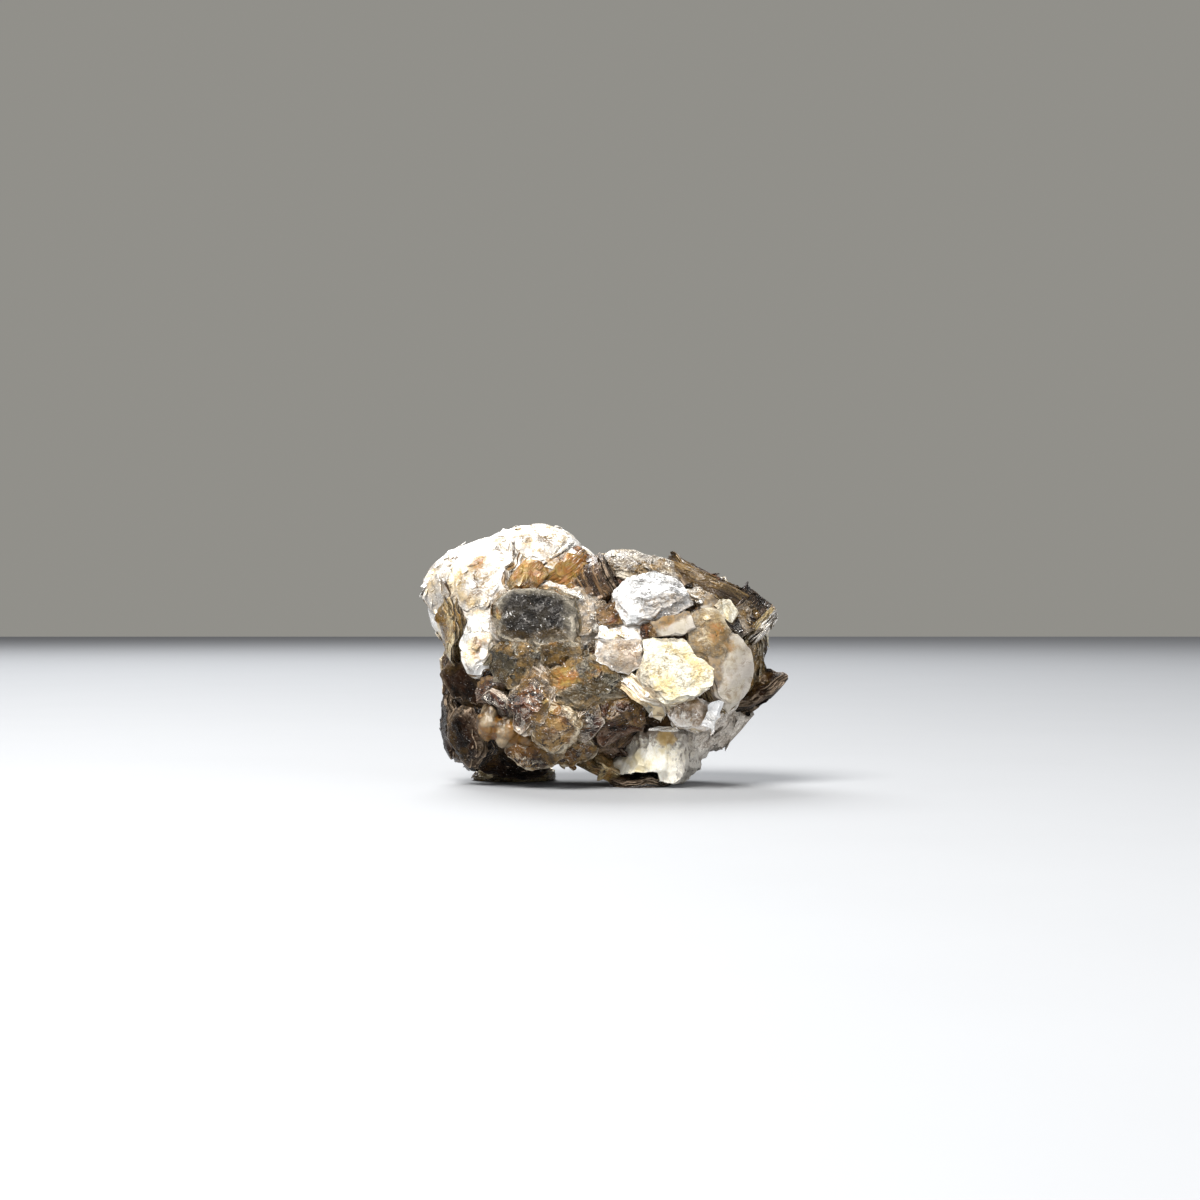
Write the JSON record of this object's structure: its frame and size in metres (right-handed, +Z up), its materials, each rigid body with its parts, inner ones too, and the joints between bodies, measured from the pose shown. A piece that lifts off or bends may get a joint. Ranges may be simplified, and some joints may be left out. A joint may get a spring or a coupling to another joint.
{
  "type": "mica crystal cluster",
  "caption": "Free-standing cluster of intergrown mica books, silvery, amber and dark brown, with cream feldspar and milky quartz grown into its underside",
  "frame": {"origin": "on the surface the specimen stands on, under the middle of its bounding box", "axes": "+X along its length towards the thin dark blade, -Y the side with the round shells, +Z up"},
  "size_m": [0.0544, 0.035, 0.0384],
  "materials": {
    "mica": "pearly foil-like sheets, silvery cream to amber and dark brown, with bright stepped edges",
    "feldspar": "cream white, satin cleavage faces with iron stains",
    "quartz": "milky grey, greasy, a little translucent"
  },
  "bodies": {
    "root": {"mica_crystals": "mica", "feldspar": "feldspar", "quartz": "quartz"}
  },
  "joints": []
}
